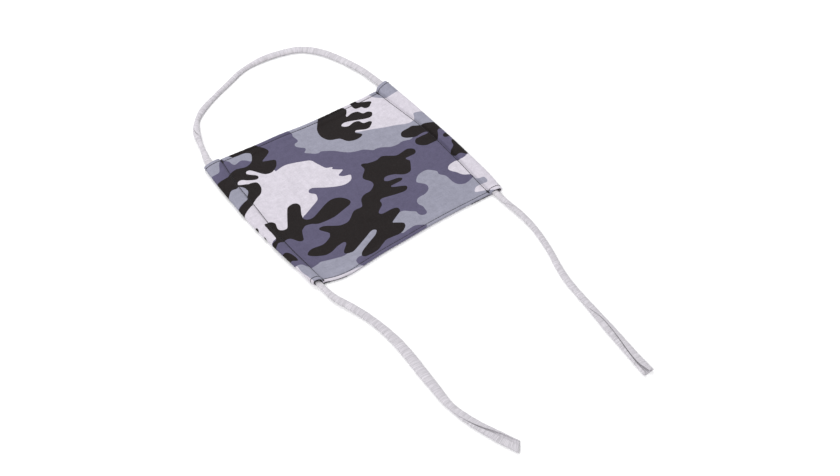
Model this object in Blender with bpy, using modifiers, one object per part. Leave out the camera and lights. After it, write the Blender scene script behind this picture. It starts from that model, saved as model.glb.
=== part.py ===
"""Camo face mask: a flat two-layer cloth mask with a casing down each side and one long jersey tie.

The outer cloth is folded to the back along each side and stitched down, which makes the two casings.
One tape runs up the left casing, round in a loop past the top edge, and down the right casing, and
its two free tails lie out past the bottom edge.

Frame: origin at the middle of the mask on the surface that it lies on, +X across the mask from
casing to casing, +Y from the tails towards the loop, +Z up. All lengths are metres.
"""
import math

import bmesh
import bpy
from mathutils import Vector

# Driving dimensions
MASK_WIDTH = 0.180  # fold to fold
MASK_HEIGHT = 0.158  # top edge to bottom edge
CLOTH = 0.0005  # thickness of one layer of cotton
GAP = 0.0003  # clearance between pieces that touch
CASING_WIDTH = 0.0140  # from the side fold in to the casing's stitch line
CASING_RISE = 0.0058  # height of the casing over the resting surface
FLAP_LAP = 0.0045  # how far the folded flap reaches past the stitch line
LINING_LAP = 0.0012  # how far the lining reaches past the stitch line
HEM = 0.0030  # from the top or bottom edge in to its topstitching
THREAD_RADIUS = 0.0002
BACKTACK_WIDTH = 0.0012
TIE_WIDTH = 0.0060  # the curled jersey tape, as it lies
TIE_THICKNESS = 0.0034

# Places that follow from them
FOLD_X = MASK_WIDTH / 2
EDGE_Y = MASK_HEIGHT / 2
SEAM_X = FOLD_X - CASING_WIDTH
FLAP_EDGE_X = SEAM_X - FLAP_LAP
LINING_EDGE_X = SEAM_X + LINING_LAP
HEM_Y = EDGE_Y - HEM
LAYER = CLOTH + GAP
FLAP_Z = CLOTH / 2
STEP_RUN = 0.0025  # length over which a layer climbs onto the flap

# The casing's section is a flattened oval that touches the resting surface
OVAL_A = 0.00575
OVAL_B = (CASING_RISE - CLOTH) / 2
OVAL_X = FOLD_X - CLOTH / 2 - OVAL_A
OVAL_Z = FLAP_Z + OVAL_B
OVAL_POWER = 2.5

# The tie
TIE_X = OVAL_X
RUN_Z = CLOTH + GAP + TIE_THICKNESS / 2  # inside a casing
FLOOR_Z = TIE_THICKNESS / 2 + 0.0001  # out on the resting surface
MOUTH_Y = EDGE_Y
LOOP_TUCK = 0.022  # length of each end of the loop's node that lies inside a casing
TAIL_TUCK = 0.012
TIE_STEP = 0.014  # between two points of the tape's line
TIE_SIDES = 12

# Points that the middle of the tape passes, one list for each free stretch
LOOP_ROUTE = [
    (-TIE_X, MOUTH_Y - LOOP_TUCK, RUN_Z),
    (-TIE_X, MOUTH_Y - 0.010, RUN_Z),
    (-0.0832, 0.0830, RUN_Z),
    (-0.0806, 0.0938, RUN_Z),
    (-0.0759, 0.1103, RUN_Z),
    (-0.0716, 0.1210, FLOOR_Z),
    (-0.0645, 0.1314, FLOOR_Z),
    (-0.0538, 0.1400, FLOOR_Z),
    (-0.0389, 0.1475, FLOOR_Z),
    (-0.0206, 0.1554, FLOOR_Z),
    (-0.0017, 0.1630, FLOOR_Z),
    (0.0185, 0.1656, FLOOR_Z),
    (0.0375, 0.1633, FLOOR_Z),
    (0.0534, 0.1575, FLOOR_Z),
    (0.0655, 0.1447, FLOOR_Z),
    (0.0739, 0.1269, FLOOR_Z),
    (0.0800, 0.1058, RUN_Z),
    (0.0824, 0.0898, RUN_Z),
    (TIE_X, MOUTH_Y - 0.006, RUN_Z),
    (TIE_X, MOUTH_Y - LOOP_TUCK, RUN_Z),
]
LEFT_TAIL_ROUTE = [
    (-TIE_X, TAIL_TUCK - MOUTH_Y, RUN_Z),
    (-TIE_X, -0.0780, RUN_Z),
    (-0.0836, -0.0890, RUN_Z),
    (-0.0824, -0.0995, RUN_Z),
    (-0.0784, -0.1114, RUN_Z),
    (-0.0734, -0.1272, FLOOR_Z),
    (-0.0704, -0.1439, FLOOR_Z),
    (-0.0691, -0.1610, FLOOR_Z),
    (-0.0695, -0.1790, FLOOR_Z),
    (-0.0709, -0.1970, FLOOR_Z),
    (-0.0719, -0.2141, FLOOR_Z),
    (-0.0728, -0.2300, FLOOR_Z),
    (-0.0714, -0.2429, FLOOR_Z),
    (-0.0678, -0.2579, FLOOR_Z),
    (-0.0632, -0.2709, FLOOR_Z),
    (-0.0586, -0.2830, FLOOR_Z),
    (-0.0549, -0.2920, FLOOR_Z),
]
RIGHT_TAIL_ROUTE = [
    (TIE_X, TAIL_TUCK - MOUTH_Y, RUN_Z),
    (TIE_X, -0.0780, RUN_Z),
    (0.0845, -0.0930, RUN_Z),
    (0.0856, -0.1080, RUN_Z),
    (0.0855, -0.1241, FLOOR_Z),
    (0.0830, -0.1402, FLOOR_Z),
    (0.0793, -0.1562, FLOOR_Z),
    (0.0750, -0.1706, FLOOR_Z),
    (0.0717, -0.1861, FLOOR_Z),
    (0.0700, -0.2031, FLOOR_Z),
    (0.0687, -0.2201, FLOOR_Z),
    (0.0672, -0.2380, FLOOR_Z),
    (0.0658, -0.2561, FLOOR_Z),
    (0.0644, -0.2740, FLOOR_Z),
    (0.0634, -0.2915, FLOOR_Z),
]

# Colours, roughness
PRINTED_COTTON = ((0.130, 0.125, 0.215), 0.85)
LINING_COTTON = ((0.640, 0.620, 0.700), 0.90)
SEWING_THREAD = ((0.022, 0.020, 0.028), 0.60)
JERSEY = ((0.600, 0.580, 0.620), 0.90)


def clear_scene():
    for obj in list(bpy.data.objects):
        bpy.data.objects.remove(obj, do_unlink=True)


def make_collection(name):
    collection = bpy.data.collections.new(name)
    bpy.context.scene.collection.children.link(collection)
    return collection


def make_material(name, colour, roughness):
    material = bpy.data.materials.new(name)
    material.use_nodes = True
    shader = material.node_tree.nodes["Principled BSDF"]
    shader.inputs["Base Color"].default_value = (*colour, 1.0)
    shader.inputs["Roughness"].default_value = roughness
    shader.inputs["Metallic"].default_value = 0.0
    return material


def add_object(name, data, material, collection):
    """Links a new object, with its own material."""
    obj = bpy.data.objects.new(name, data)
    data.materials.append(make_material(name, *material))
    collection.objects.link(obj)
    return obj


def oval_point(angle):
    """A point of the casing's section, as (x, z), angle 0 at the side fold and 90 at the top."""
    c, s = math.cos(math.radians(angle)), math.sin(math.radians(angle))
    x = math.copysign(abs(c) ** (2 / OVAL_POWER), c)
    z = math.copysign(abs(s) ** (2 / OVAL_POWER), s)
    return (OVAL_X + OVAL_A * x, OVAL_Z + OVAL_B * z)


def climb(level):
    """A layer's line from the middle out onto the flap, rising from one level to the next."""
    return [
        (0.0, level),
        (FLAP_EDGE_X - 0.001 - STEP_RUN, level),
        (FLAP_EDGE_X - 0.001, level + LAYER),
    ]


def outer_top_half():
    """The right half of the outer cloth's line, from the middle over the casing to the side fold."""
    over_casing = [oval_point(angle) for angle in range(150, -1, -15)]
    return climb(FLAP_Z + LAYER) + [(SEAM_X + 0.0016, FLAP_Z + 2 * LAYER)] + over_casing


def outer_half():
    """The same line, carried on under the casing and back to the flap's edge."""
    under_casing = [oval_point(angle) for angle in range(-15, -91, -15)]
    return outer_top_half() + under_casing + [(FLAP_EDGE_X, FLAP_Z)]


def lining_half():
    return climb(FLAP_Z) + [(LINING_EDGE_X, FLAP_Z + LAYER)]


def both_halves(half):
    """A whole section, left to right, from its right half, whose first point is the middle."""
    left = [(-x, z) for x, z in reversed(half[1:])]
    return left + half


def cloth_layer(name, half, height, material, collection):
    """One layer of cloth: its section drawn as a chain of edges and pulled out along Y."""
    bm = bmesh.new()
    verts = [bm.verts.new((x, -height / 2, z)) for x, z in both_halves(half)]
    chain = [bm.edges.new(pair) for pair in zip(verts, verts[1:])]
    pulled = bmesh.ops.extrude_edge_only(bm, edges=chain)["geom"]
    moved = [item for item in pulled if isinstance(item, bmesh.types.BMVert)]
    bmesh.ops.translate(bm, verts=moved, vec=(0.0, height, 0.0))
    bmesh.ops.recalc_face_normals(bm, faces=bm.faces)
    mesh = bpy.data.meshes.new(name)
    bm.to_mesh(mesh)
    bm.free()
    obj = add_object(name, mesh, material, collection)
    solidify = obj.modifiers.new("Cloth thickness", "SOLIDIFY")
    solidify.thickness = CLOTH
    solidify.offset = 0.0
    solidify.use_even_offset = True
    return obj


def offset_line(points, distance):
    """The same (x, z) line moved to the left of its direction, by distance."""
    moved = []
    for i, (x, z) in enumerate(points):
        before = points[max(i - 1, 0)]
        after = points[min(i + 1, len(points) - 1)]
        along = Vector((after[0] - before[0], after[1] - before[1])).normalized()
        moved.append((x - along.y * distance, z + along.x * distance))
    return moved


def line_curve(name, lines, material, collection):
    """A curve object with one open straight-segment spline for each list of points."""
    curve = bpy.data.curves.new(name, "CURVE")
    curve.dimensions = "3D"
    curve.twist_mode = "Z_UP"
    curve.use_fill_caps = True
    for points in lines:
        spline = curve.splines.new("POLY")
        spline.points.add(len(points) - 1)
        for point, place in zip(spline.points, points):
            point.co = (*place, 1.0)
    return add_object(name, curve, material, collection)


def thread(name, lines, collection):
    obj = line_curve(name, lines, SEWING_THREAD, collection)
    obj.data.bevel_depth = THREAD_RADIUS
    obj.data.bevel_resolution = 2
    return obj


def hem_thread(name, y, collection):
    """Topstitching along an edge, up over both casings to the side folds."""
    over_to_fold = both_halves(outer_top_half()[:-2])
    above = offset_line(over_to_fold, CLOTH / 2 + GAP + THREAD_RADIUS)
    return thread(name, [[(x, y, z) for x, z in above]], collection)


def casing_thread(name, side, collection):
    z = FLAP_Z + 2 * LAYER + CLOTH / 2 + GAP + THREAD_RADIUS
    reach = HEM_Y - 2 * THREAD_RADIUS - GAP
    return thread(name, [[(side * SEAM_X, -reach, z), (side * SEAM_X, reach, z)]], collection)


def backtack(name, side, end, collection):
    """A short dense bar of thread where a casing seam ends, between the hem line and the edge."""
    thickness = 2 * THREAD_RADIUS
    near = HEM_Y + THREAD_RADIUS + GAP
    far = EDGE_Y - 0.0003
    z = FLAP_Z + 2 * LAYER + CLOTH / 2 + GAP + thickness / 2
    bm = bmesh.new()
    bmesh.ops.create_cube(bm, size=1.0)
    bmesh.ops.scale(bm, vec=(BACKTACK_WIDTH, far - near, thickness), verts=bm.verts)
    mesh = bpy.data.meshes.new(name)
    bm.to_mesh(mesh)
    bm.free()
    obj = add_object(name, mesh, SEWING_THREAD, collection)
    obj.location = (side * SEAM_X, end * (near + far) / 2, z)
    return obj


def tie_section(collection):
    """The tape's flattened oval section, a guide that gives the tape curves their thickness."""
    curve = bpy.data.curves.new("tie_section", "CURVE")
    curve.dimensions = "2D"
    spline = curve.splines.new("POLY")
    spline.points.add(TIE_SIDES - 1)
    spline.use_cyclic_u = True
    for i, point in enumerate(spline.points):
        angle = -2 * math.pi * i / TIE_SIDES
        x = TIE_WIDTH / 2 * math.cos(angle)
        y = TIE_THICKNESS / 2 * math.sin(angle)
        point.co = (x, y, 0.0, 1.0)
    guide = bpy.data.objects.new("tie_section", curve)
    guide.hide_render = True
    guide.display_type = "WIRE"
    collection.objects.link(guide)
    return guide


def smooth_line(route, step):
    """Points about a step apart on the Catmull-Rom curve through the route's points."""
    places = [Vector(place) for place in route]
    places = [2 * places[0] - places[1]] + places + [2 * places[-1] - places[-2]]
    line = [places[1]]
    for a, b, c, d in zip(places, places[1:], places[2:], places[3:]):
        count = max(1, round((c - b).length / step))
        for i in range(1, count + 1):
            t = i / count
            pull = (c - a) * t + (2 * a - 5 * b + 4 * c - d) * t**2 + (3 * b - a - 3 * c + d) * t**3
            line.append(b + pull / 2)
    return line


def tape(name, line, section, collection):
    obj = line_curve(name, [line], JERSEY, collection)
    obj.data.bevel_mode = "OBJECT"
    obj.data.bevel_object = section
    return obj


def casing_run(name, side, section, collection):
    """The stretch of tape inside one casing, between the ends of the loop and of a tail."""
    top = MOUTH_Y - LOOP_TUCK - GAP
    bottom = TAIL_TUCK + GAP - MOUTH_Y
    line = [(side * TIE_X, bottom, RUN_Z), (side * TIE_X, top, RUN_Z)]
    return tape(name, line, section, collection)


def main():
    clear_scene()
    mask = make_collection("camo_face_mask")
    guides = make_collection("guides")

    cloth_layer("outer_panel", outer_half(), MASK_HEIGHT, PRINTED_COTTON, mask)
    cloth_layer("lining_panel", lining_half(), MASK_HEIGHT - 0.001, LINING_COTTON, mask)

    hem_thread("top_hem_stitching", HEM_Y, mask)
    hem_thread("bottom_hem_stitching", -HEM_Y, mask)
    casing_thread("left_casing_stitching", -1, mask)
    casing_thread("right_casing_stitching", 1, mask)
    for side, side_name in ((-1, "left"), (1, "right")):
        for end, end_name in ((-1, "bottom"), (1, "top")):
            backtack(f"{end_name}_{side_name}_backtack", side, end, mask)

    section = tie_section(guides)
    tape("tie_loop", smooth_line(LOOP_ROUTE, TIE_STEP), section, mask)
    casing_run("tie_left_run", -1, section, mask)
    casing_run("tie_right_run", 1, section, mask)
    tape("tie_left_tail", smooth_line(LEFT_TAIL_ROUTE, TIE_STEP), section, mask)
    tape("tie_right_tail", smooth_line(RIGHT_TAIL_ROUTE, TIE_STEP), section, mask)


main()
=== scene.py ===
"""The looks of the camo face mask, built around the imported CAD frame.

The mask lies on its back on a pale floor. Lengths in this file are millimetres, and MM turns them into
Blender's metres where a mesh, a light or the camera is made.

Cloth coordinates: (u, v) names a point of the outer cloth as if it were spread out flat. u runs across
the mask from its middle, and v along the casings. The cloth is stitched down at u = +-SEAM_U, goes on
over the casing to the side fold, and comes back under it to the turned edge of the flap.
"""

import math
from bisect import bisect_right
from functools import lru_cache

import bpy
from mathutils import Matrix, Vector, noise
from mathutils.geometry import delaunay_2d_cdt


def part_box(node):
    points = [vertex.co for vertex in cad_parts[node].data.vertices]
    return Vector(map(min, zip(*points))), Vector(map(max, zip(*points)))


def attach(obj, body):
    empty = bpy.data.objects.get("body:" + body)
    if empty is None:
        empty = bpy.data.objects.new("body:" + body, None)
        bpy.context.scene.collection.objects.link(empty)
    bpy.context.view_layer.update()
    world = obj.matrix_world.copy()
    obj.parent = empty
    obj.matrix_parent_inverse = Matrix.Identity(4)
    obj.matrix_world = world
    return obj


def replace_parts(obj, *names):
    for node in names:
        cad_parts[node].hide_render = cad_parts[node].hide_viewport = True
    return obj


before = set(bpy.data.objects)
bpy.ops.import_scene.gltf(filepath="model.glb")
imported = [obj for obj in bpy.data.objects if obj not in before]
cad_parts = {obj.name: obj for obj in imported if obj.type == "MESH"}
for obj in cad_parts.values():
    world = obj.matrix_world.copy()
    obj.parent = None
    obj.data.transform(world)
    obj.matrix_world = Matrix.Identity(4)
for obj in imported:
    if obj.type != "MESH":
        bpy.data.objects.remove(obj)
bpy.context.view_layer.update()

MM = 0.001


# --- Places taken from the CAD frame ---

def box_mm(node):
    low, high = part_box(node)
    return [value / MM for value in low], [value / MM for value in high]


def middle_mm(node, axis):
    low, high = box_mm(node)
    return (low[axis] + high[axis]) / 2


EDGE = box_mm("outer_panel")[1][1]  # the top and bottom edges are at v = +-EDGE
FOLD_X = box_mm("outer_panel")[1][0]
SEAM_X = middle_mm("right_casing_stitching", 0)
HEM_V = middle_mm("top_hem_stitching", 1)
TIE_X = middle_mm("tie_right_run", 0)
RUN_Z = middle_mm("tie_right_run", 2)

# --- Sizes and heights of the cloth ---

SEAM_U = SEAM_X + 1.0  # the cloth is a little wider than the straight line between the seams
TOP_U = 17.0  # cloth from a seam over the casing to the side fold
UNDER_U = 24.0  # cloth from the fold back under the casing to the end of the flap's turned edge
END_U = SEAM_U + TOP_U + UNDER_U
ROLL = 0.45  # radius at which the cloth turns under at the top and bottom edges
TURNED = 2.6  # cloth turned in past that roll
END_V = EDGE - ROLL + math.pi * ROLL + TURNED

COTTON = 0.34  # thickness of the printed cloth and of the lining
LAYER = 0.42  # from the middle of one cloth layer to the next where they are stitched together
LINING_Z = 0.55  # leaves room for the bobbin threads between the lining and the floor
FLAP_Z = 0.55  # the same under the casings
FIELD_Z = 1.20
HEM_Z = LINING_Z + 3 * LAYER
EDGE_Z = HEM_Z + 0.45
SEAM_LINING_Z = FLAP_Z + 2 * LAYER
SEAM_Z = FLAP_Z + 3 * LAYER
LINING_U = SEAM_U + 1.2  # the lining's sides are caught in the casing seams
LINING_SHORT = 0.5  # how far the lining's edges stay back from those of the outer cloth
LINING_ROLL = 0.28  # radius at which the lining turns in


# --- Curves ---

def curve_through(points):
    """A smooth function y(x) through a few (x, y) points, x rising."""
    xs, ys = [p[0] for p in points], [p[1] for p in points]
    last = len(xs) - 1
    slopes = []
    for i in range(last + 1):
        a, b = max(i - 1, 0), min(i + 1, last)
        slopes.append((ys[b] - ys[a]) / (xs[b] - xs[a]))

    def value(x):
        i = min(max(bisect_right(xs, x) - 1, 0), last - 1)
        h = xs[i + 1] - xs[i]
        t = min(max((x - xs[i]) / h, 0.0), 1.0)
        from_a = (2 * t**3 - 3 * t**2 + 1) * ys[i] + (t**3 - 2 * t**2 + t) * h * slopes[i]
        from_b = (3 * t**2 - 2 * t**3) * ys[i + 1] + (t**3 - t**2) * h * slopes[i + 1]
        return from_a + from_b

    return value


def ease(x):
    x = min(max(x, 0.0), 1.0)
    return x * x * (3 - 2 * x)


def hump(x, centre, width):
    return math.exp(-(((x - centre) / width) ** 2))


# --- How the cloth lies: departures from the straight CAD outline in plan, and heights ---

# how far the two edges stand out from y = +-EDGE, along u
TOP_EDGE = curve_through([
    (-77, 1.2), (-58, 0.0), (-40, -1.0), (-20, -1.4), (0, -3.2), (20, -3.8), (40, -3.6), (60, -3.7),
    (77, -3.0),
])
BOTTOM_EDGE = curve_through([
    (-77, 1.6), (-66, 5.0), (-55, 5.9), (-42, 4.3), (-25, 2.2), (0, 0.4), (20, -1.1), (45, -2.0),
    (77, -2.0),
])
# In these, -1 is the left side and 1 the right.
# how far each seam bows outward from the straight stitch line, along v
SEAM_BOW = {
    -1: curve_through([
        (-79, 3.8), (-60, 4.3), (-40, 5.3), (-20, 5.4), (0, 4.7), (25, 3.1), (45, 2.2), (60, 0.3), (79, -2.4),
    ]),
    1: curve_through([
        (-79, 4.0), (-60, 4.5), (-40, 5.5), (-20, 6.0), (0, 6.2), (25, 4.9), (45, 2.7), (60, 1.0), (79, -1.0),
    ]),
}
# the same for each side fold
FOLD_BOW = {
    -1: curve_through([
        (-79, -1.7), (-60, -0.8), (-40, 0.6), (-20, 1.8), (5, 2.7), (30, 2.2), (55, 1.2), (79, -0.4),
    ]),
    1: curve_through([
        (-79, 0.0), (-60, 2.2), (-35, 2.6), (-10, 2.6), (20, 1.7), (50, 0.6), (79, -1.8),
    ]),
}
# height of the top of each casing
CASING_HEIGHT = {
    -1: curve_through([
        (-79, 7.2), (-70, 6.0), (-55, 5.2), (-20, 4.8), (20, 4.8), (55, 4.8), (79, 4.8),
    ]),
    1: curve_through([(-79, 5.6), (-60, 5.0), (0, 4.8), (55, 5.0), (79, 6.2)]),
}
CASING_LEAN = {-1: 0.0, 1: 0.40}  # how far the crown of the casing leans towards its fold
# how far the side fold is pushed along Y at its two mouths
TOP_MOUTH_SKEW = {-1: -1.5, 1: 3.4}
BOTTOM_MOUTH_SKEW = {-1: 2.2, 1: -1.8}


def seam_x(side, v):
    return side * (SEAM_X + SEAM_BOW[side](v))


def fold_x(side, v):
    return side * (FOLD_X + FOLD_BOW[side](v))


def plan(u, v):
    """Where a point between the seams lies, seen from above."""
    s = (u + SEAM_U) / (2 * SEAM_U)
    t = (v + EDGE) / (2 * EDGE)
    x = seam_x(-1, v) * (1 - s) + seam_x(1, v) * s
    bottom, top = -EDGE - BOTTOM_EDGE(u), EDGE + TOP_EDGE(u)
    return x, bottom + (top - bottom) * t


def pucker(position, row, length):
    """Uneven gathers along a stitched line, about -1 to 1."""
    wobble = noise.noise(Vector((position / 17.0, row, 3.1)))
    strength = 0.6 + 0.8 * noise.noise(Vector((position / 11.0, row, 8.7)))
    return strength * math.sin(2 * math.pi * position / length + 4.0 * wobble + row)


def field_z(u, v):
    """Height of the middle of the outer cloth between the seams."""
    edge = EDGE - abs(v)
    seam = SEAM_U - abs(u)
    waves = noise.noise(Vector((u / 34.0 + 5.0, v / 46.0, 0.5)))
    waves += 0.45 * noise.noise(Vector(((u + v) / 21.0, (v - u) / 30.0, 4.2)))
    inside = ease((edge - 3.0) / 22.0) * ease(seam / 20.0)
    z = FIELD_Z + (0.55 + 0.85 * waves) * inside
    z += (HEM_Z - FIELD_Z) * (1 - ease((edge - 6.0) / 3.5))
    z += 0.16 * pucker(u, math.copysign(2.0, v), 6.5) * hump(edge, 6.0, 2.4)
    rim = ease((EDGE - HEM_V - edge) / 1.4)
    z += (EDGE_Z - HEM_Z) * rim
    z -= 0.26 * hump(edge, EDGE - HEM_V, 0.7)
    z += 0.10 * pucker(u, math.copysign(1.0, v), 5.2) * rim
    flap = 1 - ease((seam - 6.0) / 3.5)
    z += (SEAM_Z + 0.1 - z) * flap * ease((edge - 4.0) / 3.0)
    z += 0.20 * pucker(v, math.copysign(3.0, u), 7.5) * hump(seam, 4.8, 2.4) * ease(edge / 6.0)
    z += (SEAM_Z - z) * hump(seam, 0.0, 1.1)
    return z


@lru_cache(maxsize=None)
def casing_section(side, v):
    """The cloth round a casing at v, as (outward from the seam, height) lines: over it, and under it."""
    width = abs(fold_x(side, v) - seam_x(side, v))
    height = CASING_HEIGHT[side](v)
    height += 0.14 * pucker(v, side * 5.0, 8.0) * ease((EDGE - abs(v)) / 6.0)
    start = 0.9
    half_width, half_height = (width - start) / 2, (height - FLAP_Z) / 2
    power = 2 / 2.3

    def oval(angle):
        c, s = math.cos(math.radians(angle)), math.sin(math.radians(angle))
        share = (1 + math.copysign(abs(c) ** power, c)) / 2
        share += CASING_LEAN[side] * share * (1 - share) * max(s, 0.0)
        return start + 2 * half_width * share, FLAP_Z + half_height * (1 + math.copysign(abs(s) ** power, s))

    over = [(0.0, SEAM_Z), (0.5, SEAM_Z + 0.1)] + [oval(angle) for angle in range(156, -1, -12)]
    under = [oval(angle) for angle in range(0, -91, -10)]
    under += [(1.5, FLAP_Z), (0.7, FLAP_Z + 0.12), (0.0, FLAP_Z + 0.2), (-0.8, FLAP_Z + 0.12)]
    under += [(-1.8, FLAP_Z), (-4.4, FLAP_Z), (-4.65, FLAP_Z + 0.1), (-4.65, FLAP_Z + 0.33)]
    under += [(-4.4, FLAP_Z + LAYER), (0.5, FLAP_Z + LAYER)]
    return with_lengths(over), with_lengths(under)


def with_lengths(line):
    lengths = [0.0]
    for a, b in zip(line, line[1:]):
        lengths.append(lengths[-1] + math.dist(a, b))
    return line, lengths


def along(measured, share):
    line, lengths = measured
    at = share * lengths[-1]
    i = min(max(bisect_right(lengths, at) - 1, 0), len(line) - 2)
    t = (at - lengths[i]) / (lengths[i + 1] - lengths[i])
    return tuple(a + (b - a) * t for a, b in zip(line[i], line[i + 1]))


def base_point(u, v):
    """The middle of the outer cloth at (u, v), for |v| up to EDGE."""
    side = -1 if u < 0 else 1
    past = abs(u) - SEAM_U
    if past <= 0:
        x, y = plan(u, v)
        return Vector((x, y, field_z(u, v)))
    over, under = casing_section(side, round(v, 3))
    if past <= TOP_U:
        out, z = along(over, past / TOP_U)
    else:
        out, z = along(under, min((past - TOP_U) / UNDER_U, 1.0))
    x, y = plan(side * SEAM_U, v)
    share = out / abs(fold_x(side, v) - seam_x(side, v))
    t = (v + EDGE) / (2 * EDGE)
    y += share * (BOTTOM_MOUTH_SKEW[side] * (1 - t) ** 1.5 + TOP_MOUTH_SKEW[side] * t**1.5)
    return Vector((x + side * out, y, z))


def base_normal(u, v):
    step = 0.25
    across = base_point(u + step, v) - base_point(u - step, v)
    low, high = max(v - step, -EDGE), min(v + step, EDGE)
    return across.cross(base_point(u, high) - base_point(u, low)).normalized()


def cloth_point(u, v):
    """The middle of the outer cloth at (u, v), turned under past the top and bottom edges."""
    bend = EDGE - ROLL
    if abs(v) <= bend:
        return base_point(u, v)
    angle = (abs(v) - bend) / ROLL
    if angle <= math.pi:
        inward, drop = ROLL * (1 - math.sin(angle)), ROLL * (1 - math.cos(angle))
    else:
        inward = ROLL + (angle - math.pi) * ROLL
        drop = 2 * ROLL - (2 * ROLL - LAYER) * ease((inward - ROLL) / 1.8)
    at = math.copysign(EDGE - inward, v)
    return base_point(u, at) - base_normal(u, at) * drop


def on_cloth(u, v, lift):
    """A point above the printed face, at (u, v)."""
    return base_point(u, v) + base_normal(u, v) * (COTTON / 2 + lift)


# --- The print ---
# Four inks. Each outline is a closed smooth curve through its points in (u, v). A later patch covers
# an earlier one. The ground colour is slate. The white patches laid last, along the bottom rim and on
# the left casing's outer side, are a painted highlight, not print.

WHITE_PATCHES = [
    [(25, 84), (121, 85), (114, 62), (119, 45), (104, 33), (98, 25), (60, 25), (30, 40)],
    [(-98, 14), (-72, 28), (-66, 41), (-79, 44), (-79, 48.5), (-67, 57.5), (-60, 59), (-50, 50),
     (-44.3, 46.7), (-44, 44.7), (-41, 45.3), (-38, 46), (-33, 46), (-27, 44.2), (-21, 41.7),
     (-15, 38.7), (-13, 32.5), (-10.8, 25.5), (-9, 23.8), (-6.5, 23), (-5.7, 22.2), (-7, 20.7),
     (-4, 17.8), (-1, 15.5), (-2, 14.3), (-6.5, 12), (-6, 10.2), (-4, 8.5), (0, 7.3), (1, 6),
     (-1, 2.3), (-4, 0.7), (-8, 0.2), (-14, 2), (-22, 6.3), (-29, 11.3), (-31, 12.2), (-33.5, 12),
     (-35, 10), (-34.5, 8), (-31.8, 4.5), (-33, 0), (-35, -2), (-42, -5.3), (-49, -8.5), (-52, -9.7),
     (-60, -16), (-72, -20), (-88, -24), (-98, -27), (-106, -20), (-112, -6), (-108, 8)],
    [(65.7, -36), (66.5, -33.5), (68.5, -31.8), (71.5, -31.2), (75, -31), (80, -32.7), (83, -33.4),
     (87, -32.8), (92, -31), (98, -30), (108, -38), (106, -55), (120, -70), (120, -85), (68, -85),
     (68, -68), (74, -60), (77, -56.5), (77.5, -53), (76.5, -51), (71.5, -47.7), (69, -42), (67, -39)],
]
GREY_PATCHES = [
    [(-121, 85), (-78, 84), (-78.5, 78), (-82, 73), (-84.5, 67.5), (-86.5, 64.6), (-90, 64.6),
     (-98, 66), (-108, 62), (-121, 66)],
    [(-77, 79), (-74, 75.5), (-71.8, 73), (-70.8, 70), (-69.5, 68.2), (-66.5, 68.8), (-62.5, 70),
     (-59, 68.3), (-55, 65), (-50, 70), (-52, 76), (-60, 80), (-77, 80)],
    [(-98, 31), (-95, 35.5), (-91, 39), (-88, 41), (-85, 41.2), (-82, 41), (-79.5, 42.5),
     (-77.5, 44), (-75, 42.5), (-73.5, 40.5), (-73, 37.5), (-74, 34.5), (-76.5, 31), (-81.5, 25.8),
     (-85, 24.5), (-92.5, 22), (-98, 18), (-107, 19), (-110, 27)],
    [(-10.5, 85), (-11, 75), (-12, 72), (-11.3, 69), (-11, 66), (-12, 64), (-15, 63), (-16.2, 61),
     (-15.5, 58.5), (-11, 54), (-12, 51.5), (-14, 49.5), (-11, 46.5), (-8, 44), (-5, 43), (-3, 43.7),
     (0, 42.5), (6, 38.5), (11.5, 32), (15, 29), (19, 27), (25, 25), (30.5, 20), (33, 19.8),
     (37, 18.8), (43, 15), (47, 14), (51, 14), (54, 14.8), (58, 14), (62, 13), (70, 16), (85, 14),
     (98, 14), (110, 12), (119, 20), (119, 38), (106, 34), (98, 31), (91, 31.6), (85, 33.8),
     (82.5, 34), (81, 32), (79, 30.3), (75, 29.8), (71, 30), (64, 33.8), (54, 37.5), (44, 41.7),
     (33, 46.5), (25, 55), (25, 85)],
    [(70.3, 85), (70.3, 76), (71.3, 73), (77.5, 67), (80, 64.8), (83, 63.7), (88, 63.1), (98, 62.5),
     (112, 60), (121, 66), (121, 85)],
    [(19.5, -85), (18, -77), (15.5, -74.5), (10, -71.2), (3, -71.5), (-2, -71), (-3, -60),
     (-1, -57.3), (6, -53.5), (9, -52.2), (10, -52), (13, -53), (16, -56), (19, -58.5), (20, -60),
     (20, -63), (21.5, -65.5), (24.5, -66.5), (26.5, -65), (27, -62), (27.3, -58), (26, -54.5),
     (26.2, -51.5), (28, -49), (31, -48), (36, -48), (40, -46), (42, -43), (42, -39), (38.5, -34),
     (38, -32), (40, -29), (43, -26.5), (47, -25.3), (50, -25.2), (53, -26.5), (57, -31.5),
     (56.5, -35), (57.5, -37.5), (59.5, -40), (60.3, -44), (60.5, -48), (61.5, -52), (63.5, -55),
     (67, -56.7), (71, -56.8), (75, -55.5), (77.3, -55), (78, -57.5), (80, -60), (82, -61),
     (84.5, -61.5), (85.5, -64), (85, -67), (82.5, -68.2), (78, -66), (73.5, -65.5), (71, -66.7),
     (69, -69), (70, -71), (75, -73), (77.5, -74), (80, -76.5), (85, -85)],
    [(-98, -56.5), (-92, -57), (-88, -57.7), (-85.5, -59), (-84, -61.7), (-80, -62), (-76.5, -61.8),
     (-70.5, -59.3), (-68.5, -57.8), (-66, -57.4), (-57, -59.5), (-48, -61.5), (-40, -58),
     (-25, -53), (-12, -53), (-12, -60), (-25, -66), (-38, -69.8), (-41, -69.6), (-43.5, -70),
     (-45.5, -71.5), (-46.2, -74), (-45.6, -78), (-45, -85), (-120, -85), (-120, -66), (-110, -58)],
]
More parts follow.
